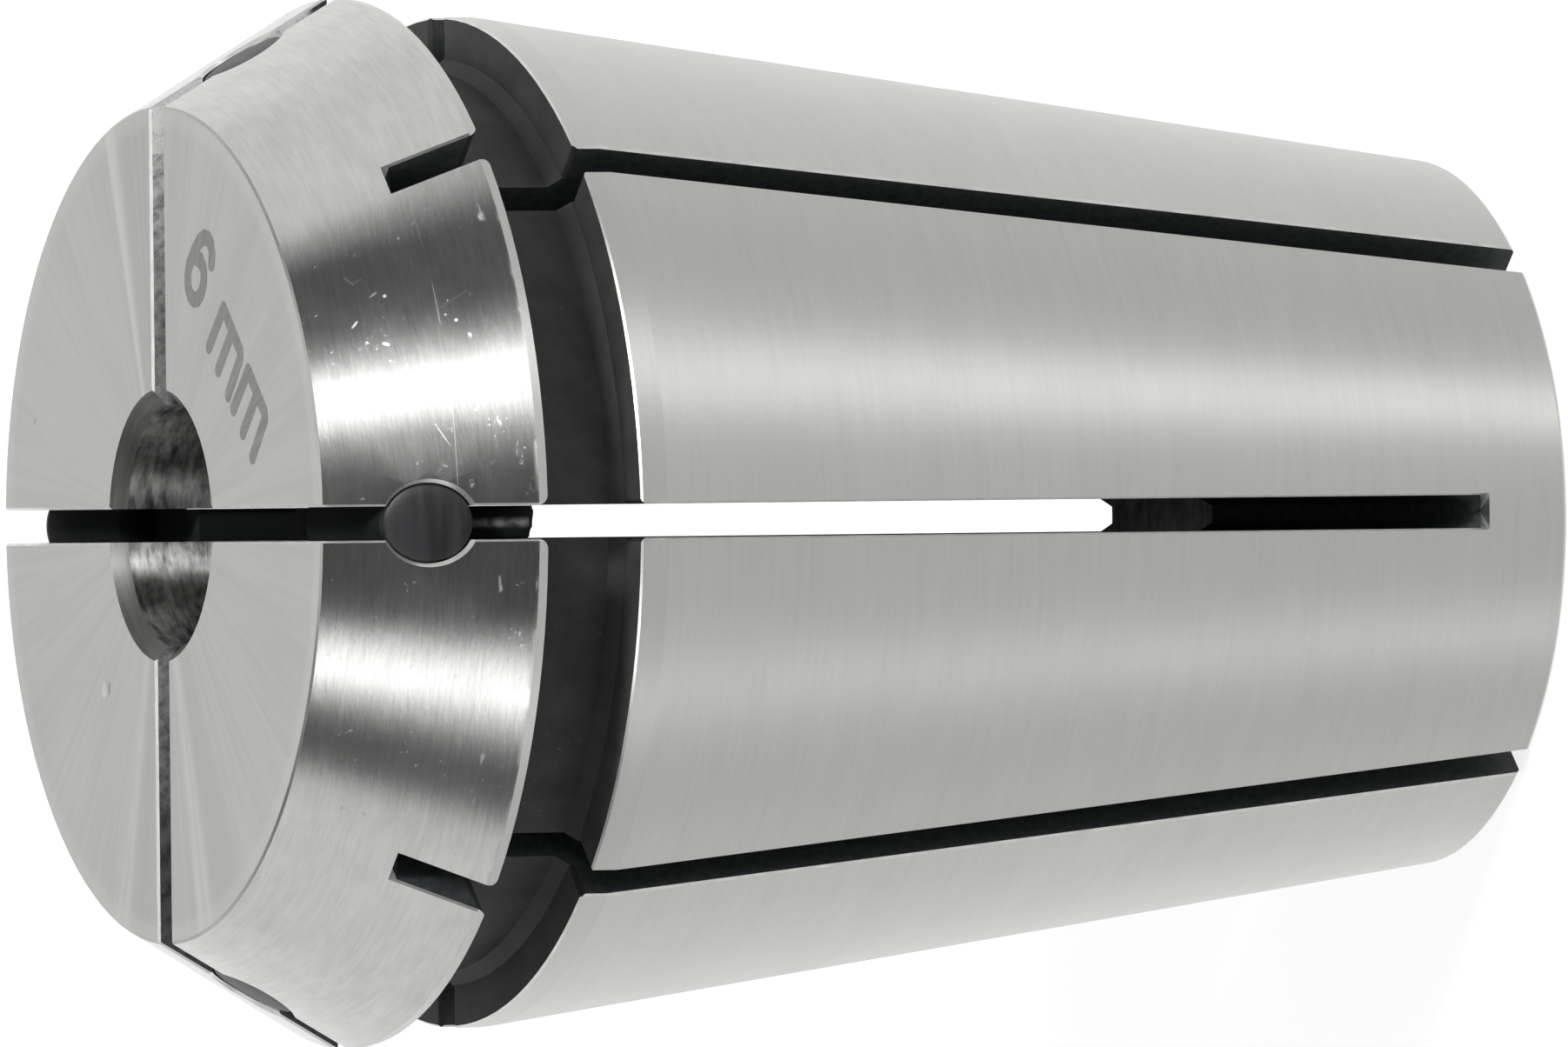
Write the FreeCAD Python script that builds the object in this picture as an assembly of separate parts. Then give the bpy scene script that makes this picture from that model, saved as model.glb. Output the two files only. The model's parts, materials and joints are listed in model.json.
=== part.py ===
"""Sealed spring collet, size 25, for a 6 mm shank.

The collet stands on its small rear end. The origin is the centre of the rear face, +Z runs
along the collet's axis to the front face, and one front slot faces -Y. Sizes are millimetres.
"""
import FreeCAD, Part
import math
import os
from FreeCAD import Vector

# Overall sizes
collet_length = 34.0
rim_diameter = 25.8
bore_diameter = 6.0

# Front cone, its rim and the nut groove behind it
cone_half_angle = 30.0
cone_length = 4.6
rim_land = 0.22
groove_width = 2.65
groove_depth_below_body = 1.35
groove_corner_bevel = 0.3
face_edge_break = 0.05

# Clamping taper and rear end
body_diameter = 24.9
body_land = 0.7
body_edge_break = 0.05
taper_half_angle = 8.0
tail_edge_break = 0.12

# Bore mouths
front_mouth_chamfer = 0.35
rear_mouth_chamfer = 0.5

# Sawn slots: equal numbers from the front and from the rear, half a pitch apart
slots_per_end = 4
slot_width = 0.82
saw_diameter = 40.0
saw_corner_bevel = 0.2
saw_clearance_to_far_wall = 1.0
front_slot_stop = 31.7
rear_slot_stop = 2.6
edge_break = 0.06
rim_corner_radius = 0.25
body_corner_radius = 0.15

# Blind cross holes in the front slots, and the seals in them
hole_diameter = 1.95
hole_depth_from_face = 2.3
hole_floor_from_axis = 6.0
hole_edge_break = 0.09
plug_recess = 0.08
fin_recess = 1.05
seal_clearance = 0.01
seal_bore_clearance = 0.1

# Heights of the shoulders above the rear face
rim_base = collet_length - cone_length - rim_land
cone_base = collet_length - cone_length
body_top = rim_base - groove_width
taper_top = body_top - body_land

# Radii worked out from the driving sizes
rim_radius = rim_diameter / 2
bore_radius = bore_diameter / 2
body_radius = body_diameter / 2
floor_radius = body_radius - groove_depth_below_body
face_radius = rim_radius - cone_length * math.tan(math.radians(cone_half_angle))

# How far a cutting tool runs out past the metal
overrun = 1.0


def cone_radius(z):
    """Radius of the front cone at height z."""
    return rim_radius - (z - cone_base) * math.tan(math.radians(cone_half_angle))


def taper_radius(z):
    """Radius of the clamping taper at height z."""
    return body_radius - (taper_top - z) * math.tan(math.radians(taper_half_angle))


tail_radius = taper_radius(0)


def at(radius, z, across=0.0):
    """Point in the plane of a slot that faces +X."""
    return Vector(radius, across, z)


def turn(shape, angle):
    """Copy of a shape, turned about the collet's axis by an angle in degrees."""
    turned = shape.copy()
    turned.rotate(Vector(0, 0, 0), Vector(0, 0, 1), angle)
    return turned


def circles_at(solid, places):
    """Circular edges of a turned solid that lie at the given radii and heights."""
    found = []
    for edge in solid.Edges:
        if not isinstance(edge.Curve, Part.Circle):
            continue
        for radius, z in places:
            if abs(edge.Curve.Radius - radius) < 1e-6 and abs(edge.Curve.Center.z - z) < 1e-6:
                found.append(edge)
    return found


def turned_blank():
    """The collet before slotting: one half section turned about the axis, edges broken."""
    outline = [
        at(bore_radius, rear_mouth_chamfer),
        at(bore_radius + rear_mouth_chamfer, 0),
        at(tail_radius, 0),
        at(body_radius, taper_top),
        at(body_radius, body_top),
        at(floor_radius, body_top),
        at(floor_radius, rim_base),
        at(rim_radius, rim_base),
        at(rim_radius, cone_base),
        at(face_radius, collet_length),
        at(bore_radius + front_mouth_chamfer, collet_length),
        at(bore_radius, collet_length - front_mouth_chamfer),
    ]
    section = Part.Face(Part.makePolygon(outline + outline[:1]))
    blank = section.revolve(Vector(0, 0, 0), Vector(0, 0, 1), 360)
    corners = circles_at(blank, [(floor_radius, body_top), (floor_radius, rim_base)])
    blank = blank.makeChamfer(groove_corner_bevel, corners)
    blank = blank.makeChamfer(tail_edge_break, circles_at(blank, [(tail_radius, 0)]))
    blank = blank.makeChamfer(face_edge_break, circles_at(blank, [(face_radius, collet_length)]))
    return blank.makeChamfer(body_edge_break, circles_at(blank, [(body_radius, body_top)]))


def drilled(blank):
    """The blank with its cross holes, their outer rims broken."""
    height = collet_length - hole_depth_from_face
    reach = rim_radius + overrun - hole_floor_from_axis
    for index in range(slots_per_end):
        hole = Part.makeCylinder(hole_diameter / 2, reach, at(hole_floor_from_axis, height), Vector(1, 0, 0))
        blank = blank.cut(turn(hole, index * 360 / slots_per_end))
    rims = []
    for edge in blank.Edges:
        middle = edge.CenterOfMass
        outside = math.hypot(middle.x, middle.y) > (hole_floor_from_axis + cone_radius(height)) / 2
        beside_hole = abs(middle.z - height) < hole_diameter / 2
        if outside and beside_hole and 0.9 < edge.BoundBox.ZLength / hole_diameter < 1.1:
            rims.append(edge)
    return blank.makeChamfer(hole_edge_break, rims)


def saw_pass(stop_z, stop_radius, end_z):
    """Metal taken by one pass of the saw, which enters at end_z and stops at a point of the skin.

    Args:
        stop_z: Height at which the slot runs out on the skin.
        stop_radius: Radius of the skin at that height.
        end_z: Height past the end face that the saw comes in from.
    """
    saw_radius = saw_diameter / 2
    lowest = saw_clearance_to_far_wall - bore_radius
    axis_radius = lowest + saw_radius
    along = math.sqrt(saw_radius ** 2 - (axis_radius - stop_radius) ** 2)
    into = 1 if end_z < stop_z else -1
    axis_z = stop_z - into * along
    disc = Part.makeCylinder(saw_radius, slot_width, at(axis_radius, axis_z, -slot_width / 2), Vector(0, 1, 0))
    rims = [edge for edge in disc.Edges if len(edge.Vertexes) == 1 and isinstance(edge.Curve, Part.Circle)]
    disc = disc.makeChamfer(saw_corner_bevel, rims)
    low, high = sorted((axis_z, end_z))
    track = Part.makeBox(axis_radius - lowest, slot_width, high - low, at(lowest, low, -slot_width / 2))
    return [track, disc]


def edge_track(start, end, past_start=overrun, past_end=overrun):
    """V-shaped track that breaks both edges of a slot along one straight stretch of the skin.

    Args:
        start: Radius and height of the stretch's first end.
        end: Radius and height of its second end, with the metal on the left of the way there.
        past_start: How far the track runs on before the first end.
        past_end: How far it runs on after the second end.
    """
    way = (at(*end) - at(*start)).normalize()
    first = at(*start) - way * past_start
    last = at(*end) + way * past_end
    outward = Vector(way.z, 0, -way.x)
    height = slot_width / 2 + edge_break + overrun
    tip = first + outward * (overrun - height)
    top = first + outward * overrun
    side = Vector(0, height, 0)
    section = Part.Face(Part.makePolygon([tip, top + side, top - side, tip]))
    return section.extrude(last - first)


def corner_rounding(wall_z, into, outer_radius, rounding):
    """Cutter that rounds both corners between a slot and one wall of the nut groove.

    Args:
        wall_z: Height of the wall.
        into: 1 where the wall's metal is above it, -1 where it is below.
        outer_radius: Radius of the wall's outer edge.
        rounding: Radius of the rounded corners.
    """
    foot = floor_radius + groove_corner_bevel
    reach = outer_radius + overrun
    side = slot_width / 2 + rounding
    low, high = sorted((wall_z - into * overrun, wall_z + into * rounding))
    block = Part.makeBox(reach - foot, 2 * side, high - low, at(foot, low, -side))
    for across in (-side, side):
        middle = at(foot - overrun, wall_z + into * rounding, across)
        block = block.cut(Part.makeCylinder(rounding, reach - foot + 2 * overrun, middle, Vector(1, 0, 0)))
    return block


def groove_edges():
    """Cutters for the edges of a slot where it crosses the nut groove, its rim and the body's land."""
    return [
        corner_rounding(rim_base, 1, rim_radius, rim_corner_radius),
        corner_rounding(body_top, -1, body_radius, body_corner_radius),
        edge_track((rim_radius, rim_base), (rim_radius, cone_base)),
        edge_track((body_radius, taper_top), (body_radius, body_top)),
    ]


def front_slot():
    """Cutters of a slot sawn from the front face, with its broken edges."""
    stop = collet_length - front_slot_stop
    return saw_pass(stop, taper_radius(stop), collet_length + overrun) + groove_edges() + [
        edge_track((face_radius, collet_length), (bore_radius + front_mouth_chamfer, collet_length)),
        edge_track((rim_radius, cone_base), (face_radius, collet_length)),
        edge_track((taper_radius(stop), stop), (body_radius, taper_top), past_start=0),
    ]


def rear_slot():
    """Cutters of a slot sawn from the rear face, with its broken edges."""
    stop = collet_length - rear_slot_stop
    return saw_pass(stop, cone_radius(stop), -overrun) + groove_edges() + [
        edge_track((rim_radius, cone_base), (cone_radius(stop), stop), past_end=0),
        edge_track((tail_radius, 0), (body_radius, taper_top)),
    ]


def collet_body():
    """The steel collet: turned, drilled and slotted from both ends."""
    body = drilled(turned_blank())
    pitch = 360 / slots_per_end
    for index in range(slots_per_end):
        for cutter in front_slot():
            body = body.cut(turn(cutter, index * pitch))
        for cutter in rear_slot():
            body = body.cut(turn(cutter, (index + 0.5) * pitch))
    return body


def slot_seal():
    """Rubber seal of one front slot: a plug in the cross hole and a fin back to the nut groove.

    The plug's outer end follows the front cone, and the fin lies deeper in the slot.
    """
    height = collet_length - hole_depth_from_face
    inner = bore_radius + seal_bore_clearance
    plug_foot = hole_floor_from_axis + seal_clearance
    plug_radius = hole_diameter / 2 - seal_clearance
    low, high = height - hole_diameter, height + hole_diameter
    reach = cone_radius(low) - plug_recess
    plug = Part.makeCylinder(plug_radius, reach - plug_foot, at(plug_foot, height), Vector(1, 0, 0))
    plug = plug.common(Part.makeCone(reach, cone_radius(high) - plug_recess, high - low, at(0, low)))
    half = slot_width / 2 - seal_clearance
    corners = [
        at(inner, height, -half),
        at(inner, rim_base, -half),
        at(cone_radius(cone_base) - fin_recess, rim_base, -half),
        at(cone_radius(cone_base) - fin_recess, cone_base, -half),
        at(cone_radius(height) - fin_recess, height, -half),
    ]
    fin = Part.Face(Part.makePolygon(corners + corners[:1])).extrude(Vector(0, 2 * half, 0))
    return plug.fuse(fin).removeSplitter()


def save(shape, node):
    """Write one solid to its own file."""
    solid = shape.Solids[0]
    solid.exportStep("parts/" + node + ".step")


os.makedirs("parts", exist_ok=True)
save(collet_body(), "collet_body")
for seal_index in range(slots_per_end):
    save(turn(slot_seal(), seal_index * 360 / slots_per_end), "slot_seal_" + str(seal_index + 1))
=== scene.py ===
"""Looks of a sealed spring collet: ground steel, black slots, rubber seals and a plain size mark."""
import json
import logging
import math
from collections.abc import Callable
from dataclasses import dataclass
from enum import Enum

import bmesh
import bpy
from mathutils import Matrix, Vector
from mathutils.geometry import delaunay_2d_cdt

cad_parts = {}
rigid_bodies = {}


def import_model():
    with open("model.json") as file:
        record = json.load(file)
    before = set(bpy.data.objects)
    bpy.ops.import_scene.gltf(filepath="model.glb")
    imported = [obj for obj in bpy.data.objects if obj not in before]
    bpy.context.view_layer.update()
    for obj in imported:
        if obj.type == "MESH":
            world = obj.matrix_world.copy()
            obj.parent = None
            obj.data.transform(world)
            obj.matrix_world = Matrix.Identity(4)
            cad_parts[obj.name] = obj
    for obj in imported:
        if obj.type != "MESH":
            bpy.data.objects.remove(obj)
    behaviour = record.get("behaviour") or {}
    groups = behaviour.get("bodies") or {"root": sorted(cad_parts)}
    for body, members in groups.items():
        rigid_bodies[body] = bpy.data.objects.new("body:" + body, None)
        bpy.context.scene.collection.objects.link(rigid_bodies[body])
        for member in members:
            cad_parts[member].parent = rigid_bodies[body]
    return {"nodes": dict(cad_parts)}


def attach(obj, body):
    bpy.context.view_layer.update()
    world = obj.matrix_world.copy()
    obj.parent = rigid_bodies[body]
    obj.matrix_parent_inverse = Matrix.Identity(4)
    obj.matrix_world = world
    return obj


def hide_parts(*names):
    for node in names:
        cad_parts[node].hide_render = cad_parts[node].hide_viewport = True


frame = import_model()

LOG = logging.getLogger("collet")
MM = 0.001
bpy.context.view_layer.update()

Node = bpy.types.Node
Socket = bpy.types.NodeSocket
Triple = tuple[float, float, float]
Opaque = tuple[float, float, float, float]
Pairs = tuple[tuple[float, float], ...]


class Region(Enum):
    """Kinds of surface on the steel body, each with its own finish."""

    FACE = "front_face"
    CONE = "front_cone"
    RIM = "rim_land"
    GROOVE = "nut_groove"
    WALL = "groove_rear_wall"
    BEVEL = "groove_corner"
    BREAK = "face_edge_break"
    TAPER = "clamping_taper"
    REAR = "rear_face"
    SLOT = "slot_wall"
    HOLE = "hole_wall"
    BORE = "bore"
    MOUTH = "bore_mouth"
    EDGE = "broken_edge"


@dataclass(frozen=True)
class ColletSizes:
    """Sizes of the collet in millimetres and degrees, as the frame has them."""

    length: float = 34.0
    bore_radius: float = 3.0
    rim_radius: float = 12.9
    cone_length: float = 4.6
    cone_angle: float = 30.0
    rim_land: float = 0.22
    groove_width: float = 2.65
    floor_radius: float = 11.1
    body_radius: float = 12.45
    body_land: float = 0.7
    taper_angle: float = 8.0
    tail_edge: float = 0.12
    mouth_chamfer: float = 0.5
    slot_width: float = 0.82
    slots_per_end: int = 4
    hole_radius: float = 0.975
    hole_depth: float = 2.3
    hole_floor: float = 6.0
    plug_recess: float = 0.08
    fin_recess: float = 1.05
    seal_clearance: float = 0.01
    seal_bore_clearance: float = 0.1

    @property
    def cone_base(self) -> float:
        """Height of the front cone's large end."""
        return self.length - self.cone_length

    @property
    def rim_base(self) -> float:
        """Height of the nut groove's front wall."""
        return self.cone_base - self.rim_land

    @property
    def body_top(self) -> float:
        """Height of the nut groove's rear wall."""
        return self.rim_base - self.groove_width

    @property
    def hole_height(self) -> float:
        """Height of the cross holes."""
        return self.length - self.hole_depth

    @property
    def slant(self) -> float:
        """How much the front cone's radius falls for each millimetre of height."""
        return math.tan(math.radians(self.cone_angle))

    @property
    def cone_foot(self) -> float:
        """Radius that the front cone would have at height 0."""
        return self.rim_radius + self.slant * self.cone_base

    def cone_radius(self, height: float) -> float:
        """Radius of the front cone at a height."""
        return self.rim_radius - (height - self.cone_base) * self.slant

    def taper_radius(self, height: float) -> float:
        """Radius of the body at a height, on its straight land or on its taper."""
        below = max(0.0, self.body_top - self.body_land - height)
        return self.body_radius - below * math.tan(math.radians(self.taper_angle))


SIZES = ColletSizes()


def shade(colour: Triple, factor: float = 1.0) -> Opaque:
    """Opaque colour, lighter or darker by a factor."""
    return tuple(min(1.0, part * factor) for part in colour) + (1.0,)


@dataclass
class Tree:
    """Short way to build a node tree.

    Args:
        nodes: The tree that the nodes go in.
    """

    nodes: bpy.types.NodeTree

    def add(self, kind: str, inputs: dict[str | int, object] | None = None, **settings: object) -> Node:
        """Add one node.

        Args:
            kind: The node's type name.
            inputs: Outputs or plain values for its inputs, by name or number.
            settings: Properties to set on it.

        Returns:
            The new node.
        """
        node = self.nodes.nodes.new(kind)
        for name, value in settings.items():
            setattr(node, name, value)
        self.feed(node, inputs or {})
        return node

    def feed(self, node: Node, inputs: dict[str | int, object]) -> None:
        """Join outputs to a node's inputs, and set those that are given a plain value.

        Args:
            node: The node.
            inputs: Outputs or plain values for its inputs, by name or number.
        """
        for label, value in inputs.items():
            if isinstance(value, Socket):
                self.nodes.links.new(value, node.inputs[label])
            else:
                node.inputs[label].default_value = value

    def maths(self, operation: str, *values: object, clamp: bool = False) -> Socket:
        """Work out a number from one to three numbers or outputs.

        Args:
            operation: Name of the sum.
            values: Inputs in order.
            clamp: Whether the result stays between 0 and 1.

        Returns:
            The output.
        """
        node = self.add("ShaderNodeMath", dict(enumerate(values)), operation=operation, use_clamp=clamp)
        return node.outputs[0]

    def times(self, first: object, second: object) -> Socket:
        """Product of two numbers or outputs."""
        return self.maths("MULTIPLY", first, second)

    def blend(self, first: object, second: object, share: float) -> Socket:
        """Weighted mean of two outputs, given the first one's share."""
        return self.maths("ADD", self.times(first, share), self.times(second, 1 - share))

    def vector(self, operation: str, *values: object) -> Socket:
        """Work out a vector, or the number that a length or a dot product gives.

        Args:
            operation: Name of the sum.
            values: Inputs in order.

        Returns:
            The output.
        """
        node = self.add("ShaderNodeVectorMath", dict(enumerate(values)), operation=operation)
        return node.outputs["Value" if operation in ("LENGTH", "DOT_PRODUCT") else "Vector"]

    def scaled(self, vector: object, factor: object) -> Socket:
        """Vector times a number."""
        return self.add("ShaderNodeVectorMath", {0: vector, "Scale": factor}, operation="SCALE").outputs[0]

    def combine(self, x: object = 0.0, y: object = 0.0, z: object = 0.0) -> Socket:
        """Vector of three numbers or outputs."""
        return self.add("ShaderNodeCombineXYZ", {0: x, 1: y, 2: z}).outputs[0]

    def split(self, vector: Socket) -> list[Socket]:
        """Three parts of a vector."""
        return list(self.add("ShaderNodeSeparateXYZ", {0: vector}).outputs)

    def ramp(self, factor: object, stops: list[tuple[float, float]]) -> Socket:
        """Map a number through grey stops.

        Args:
            factor: Number or output between 0 and 1.
            stops: Pairs of position and grey value.

        Returns:
            The ramp's colour output.
        """
        node = self.add("ShaderNodeValToRGB", {0: factor})
        elements = node.color_ramp.elements
        while len(elements) < len(stops):
            elements.new(1.0)
        for element, (position, value) in zip(elements, stops):
            element.position = position
            element.color = (value, value, value, 1.0)
        return node.outputs[0]

    def mix(self, factor: object, first: object, second: object, blend: str = "MIX") -> Socket:
        """Blend two colours.

        Args:
            factor: Share of the second colour.
            first: First colour or output.
            second: Second colour or output.
            blend: Name of the blend.

        Returns:
            The colour output.
        """
        inputs = {0: factor, 6: first, 7: second}
        node = self.add("ShaderNodeMix", inputs, data_type="RGBA", blend_type=blend, clamp_result=True)
        return node.outputs[2]

    def span(self, value: object, low: object, high: object,
             to_low: float = 0.0, to_high: float = 1.0) -> Socket:
        """Ease a number from one value to another over a span.

        Args:
            value: Number or output.
            low: Where the span starts.
            high: Where it ends.
            to_low: Result at its start.
            to_high: Result at its end.

        Returns:
            The output.
        """
        inputs = {"Value": value, "From Min": low, "From Max": high, "To Min": to_low, "To Max": to_high}
        return self.add("ShaderNodeMapRange", inputs, interpolation_type="SMOOTHSTEP").outputs["Result"]

    def tones(self, value: object, low: float, high: float, dark: Opaque, light: Opaque) -> Socket:
        """Colour that goes from a dark to a light one as a number crosses a span."""
        return self.mix(self.span(value, low, high), dark, light)

    def tint(self, base: object, mask: Socket, strength: float, colour: Opaque) -> Socket:
        """Lay a colour over another where a mask shows, at the given strength."""
        return self.mix(self.times(mask, strength), base, colour)

    def bump(self, height: Socket, strength: float, depth: float, normal: Socket | None = None) -> Socket:
        """Roughen a surface.

        Args:
            height: Height as an output.
            strength: How strongly it shows.
            depth: Height of one unit in millimetres.
            normal: Normal to start from, where it isn't the mesh's own.

        Returns:
            The normal output.
        """
        inputs = {"Height": height, "Strength": strength, "Distance": depth * MM}
        if normal is not None:
            inputs["Normal"] = normal
        return self.add("ShaderNodeBump", inputs).outputs["Normal"]

    def noise(self, vector: Socket, scale: float, detail: float = 2.0, roughness: float = 0.5) -> Socket:
        """Cloudy noise of a vector, as a number between 0 and 1."""
        inputs = {"Vector": vector, "Scale": scale, "Detail": detail, "Roughness": roughness}
        return self.add("ShaderNodeTexNoise", inputs).outputs["Fac"]


def group_tree(name: str, inputs: dict[str, object],
               outputs: list[str]) -> tuple[Tree, dict[str, Socket], Node]:
    """Start a shader node group whose inputs are numbers, or vectors where the usual value has three parts.

    Args:
        name: The group's name.
        inputs: Input names with their usual values.
        outputs: Output names.

    Returns:
        The tree, what comes in by name, and the output node.
    """
    group = bpy.data.node_groups.new(name, "ShaderNodeTree")
    for label, value in inputs.items():
        kind = "NodeSocketVector" if isinstance(value, tuple) else "NodeSocketFloat"
        group.interface.new_socket(label, in_out="INPUT", socket_type=kind).default_value = value
    for label in outputs:
        group.interface.new_socket(label, in_out="OUTPUT", socket_type="NodeSocketFloat")
    tree = Tree(group)
    given = tree.add("NodeGroupInput")
    return tree, {label: given.outputs[label] for label in inputs}, tree.add("NodeGroupOutput")


@dataclass(frozen=True)
class Place:
    """Where the shaded point is, as outputs.

    Args:
        place: Its place in millimetres.
        height: Its height in millimetres.
        radius: Its distance from the axis in millimetres.
        east: How far its direction from the axis points to +X, between -1 and 1.
        north: How far that direction points to +Y.
    """

    place: Socket
    height: Socket
    radius: Socket
    east: Socket
    north: Socket

    @classmethod
    def make(cls, tree: Tree) -> "Place":
        """Add the nodes that work out the place.

        Args:
            tree: Tree to build in.

        Returns:
            The place.
        """
        place = tree.vector("MULTIPLY", tree.add("ShaderNodeTexCoord").outputs["Object"], (1 / MM,) * 3)
        flat = tree.vector("MULTIPLY", place, (1.0, 1.0, 0.0))
        outward = tree.split(tree.vector("NORMALIZE", flat))
        return cls(place, tree.split(place)[2], tree.vector("LENGTH", flat), outward[0], outward[1])


class GroundLines:
    """Group: fine lines left by a wheel that ran round the axis, broader streaks and slow clouds."""

    NAME = "Ground lines"
    STREAK_SHARE = 0.16
    CLOUDS_PER_MM = 0.35

    def build(self) -> bpy.types.NodeTree:
        """Build the group.

        Returns:
            The group's tree.
        """
        inputs, outputs = {"Fineness": 18.0, "Length": 0.25}, ["Lines", "Streaks", "Clouds"]
        tree, given, result = group_tree(self.NAME, inputs, outputs)
        here = Place.make(tree)
        for label, share, detail in (("Lines", 1.0, 4.0), ("Streaks", self.STREAK_SHARE, 2.0)):
            stretch = tree.combine(given["Length"], given["Length"], tree.times(given["Fineness"], share))
            lines = tree.noise(tree.vector("MULTIPLY", here.place, stretch), 1.0, detail, 0.65)
            tree.feed(result, {label: lines})
        tree.feed(result, {"Clouds": tree.noise(here.place, self.CLOUDS_PER_MM, 3.0, 0.55)})
        return tree.nodes


class FanLines:
    """Group: fine lines that run out from the axis over the flat face, and slower fans."""

    NAME = "Fan lines"
    CHANGE_PER_MM = 0.15

    def build(self) -> bpy.types.NodeTree:
        """Build the group.

        Returns:
            The group's tree.
        """
        tree, given, result = group_tree(self.NAME, {"Fineness": 34.0, "Spread": 4.0}, ["Lines", "Fans"])
        here = Place.make(tree)
        outward = tree.times(here.radius, self.CHANGE_PER_MM)
        for label, scale in (("Lines", given["Fineness"]), ("Fans", given["Spread"])):
            vector = tree.combine(tree.times(here.east, scale), tree.times(here.north, scale), outward)
            tree.feed(result, {label: tree.noise(vector, 1.0, 3.0, 0.6)})
        return tree.nodes


class Wear:
    """Group: soft small specks in patches, scuffs that run round the axis, and the patches."""

    NAME = "Wear"
    PATCHES_PER_MM = 0.8
    SCUFF_STRETCH = (0.22, 0.22, 0.9)
    BARE_LEVEL = 0.82
    COVER_STEP = 0.3

    def build(self) -> bpy.types.NodeTree:
        """Build the group.

        Returns:
            The group's tree.
        """
        inputs, outputs = {"Fineness": 4.5, "Cover": 0.5}, ["Specks", "Scuffs", "Patch"]
        tree, given, result = group_tree(self.NAME, inputs, outputs)
        here = Place.make(tree)
        patch = tree.span(tree.noise(here.place, self.PATCHES_PER_MM, 2.0), 0.4, 0.62)
        level = tree.maths("SUBTRACT", self.BARE_LEVEL, tree.times(given["Cover"], self.COVER_STEP))
        for label, stretch in (("Specks", (1.0, 1.0, 1.0)), ("Scuffs", self.SCUFF_STRETCH)):
            fine = tree.scaled(tree.vector("MULTIPLY", here.place, stretch), given["Fineness"])
            above = tree.maths("SUBTRACT", tree.noise(fine, 1.0, 3.0, 0.62), level)
            tree.feed(result, {label: tree.times(tree.span(above, -0.02, 0.16), patch)})
        tree.feed(result, {"Patch": patch})
        return tree.nodes


class Nick:
    """Group: one nick, spot or scratch at a known place."""

    NAME = "Nick"
    SOLID_SHARE = 0.3

    def build(self) -> bpy.types.NodeTree:
        """Build the group.

        Returns:
            The group's tree.
        """
        inputs = {"Middle": (0.0, 0.0, 0.0), "Along": (0.0, 0.0, 0.001), "Width": 0.05}
        tree, given, result = group_tree(self.NAME, inputs, ["Mask"])
        away = tree.vector("SUBTRACT", Place.make(tree).place, given["Middle"])
        reach = tree.vector("DOT_PRODUCT", away, given["Along"])
        length = tree.vector("DOT_PRODUCT", given["Along"], given["Along"])
        share = tree.maths("MAXIMUM", tree.maths("MINIMUM", tree.maths("DIVIDE", reach, length), 1.0), -1.0)
        gap = tree.vector("LENGTH", tree.vector("SUBTRACT", away, tree.scaled(given["Along"], share)))
        solid = tree.times(given["Width"], self.SOLID_SHARE)
        tree.feed(result, {"Mask": tree.span(gap, given["Width"], solid)})
        return tree.nodes


class Groups:
    """The shared shader groups, each built once."""

    def __init__(self) -> None:
        """Build every group."""
        self.trees = {kind.NAME: kind().build() for kind in (GroundLines, FanLines, Wear, Nick)}


def new_material(name: str) -> tuple[bpy.types.Material, Tree, Node]:
    """Start a material.

    Args:
        name: The material's name.

    Returns:
        The material, its tree and its main shader node.
    """
    material = bpy.data.materials.new(name)
    material.use_nodes = True
    return material, Tree(material.node_tree), material.node_tree.nodes["Principled BSDF"]


@dataclass(frozen=True)
class Bench:
    """What a finish is made with.

    Args:
        groups: Shared shader groups.
        tree: The material's tree.
        here: Place of the shaded point.
        shader: The material's main shader node.
    """

    groups: Groups
    tree: Tree
    here: Place
    shader: Node

    def place(self, name: str, **values: object) -> dict[str, Socket]:
        """Place a shared group in the material.

        Args:
            name: The group's name.
            values: Input values, with their names in lower case.

        Returns:
            The group's outputs by name.
        """
        inputs = {label.capitalize(): value for label, value in values.items()}
        node = self.tree.add("ShaderNodeGroup", inputs, node_tree=self.groups.trees[name])
        return {output.name: output for output in node.outputs}


@dataclass(frozen=True)
class Damage:
    """One nick, spot or scratch in a finish.

    Args:
        middle: Its middle in millimetres.
        along: Half its length, as a vector in millimetres.
        width: Its half width in millimetres.
        light: How light it leaves the metal.
        share: How strongly it shows.
        dullness: Roughness of the metal in it.
    """

    middle: Triple
    along: Triple = (0.0, 0.0, 0.001)
    width: float = 0.05
    light: float = 0.9
    share: float = 0.7
    dullness: float = 0.65

    def lay(self, bench: Bench, colour: object, rough: object) -> tuple[Socket, Socket]:
        """Lay the mark over a colour and a roughness.

        Args:
            bench: What the finish is made with.
            colour: The colour under it.
            rough: The roughness under it.

        Returns:
            The colour and the roughness with the mark.
        """
        tree = bench.tree
        nick = bench.place(Nick.NAME, middle=self.middle, along=self.along, width=self.width)
        mask = tree.times(nick["Mask"], self.share)
        dull = tree.maths("MAXIMUM", rough, tree.times(mask, self.dullness))
        return tree.mix(mask, colour, shade((1.0, 1.0, 0.98), self.light)), dull


@dataclass(frozen=True)
class Finish:
    """One finish of the collet.

    Args:
        name: The material's name.
    """

    name: str

    def build(self, groups: Groups) -> bpy.types.Material:
        """Build the material.

        Args:
            groups: Shared shader groups.

        Returns:
            The material.
        """
        material, tree, shader = new_material(self.name)
        self.dress(Bench(groups, tree, Place.make(tree), shader))
        return material

    def dress(self, bench: Bench) -> None:
        """Give the shader its inputs, which each kind of finish does in its own way."""
        raise NotImplementedError


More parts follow.
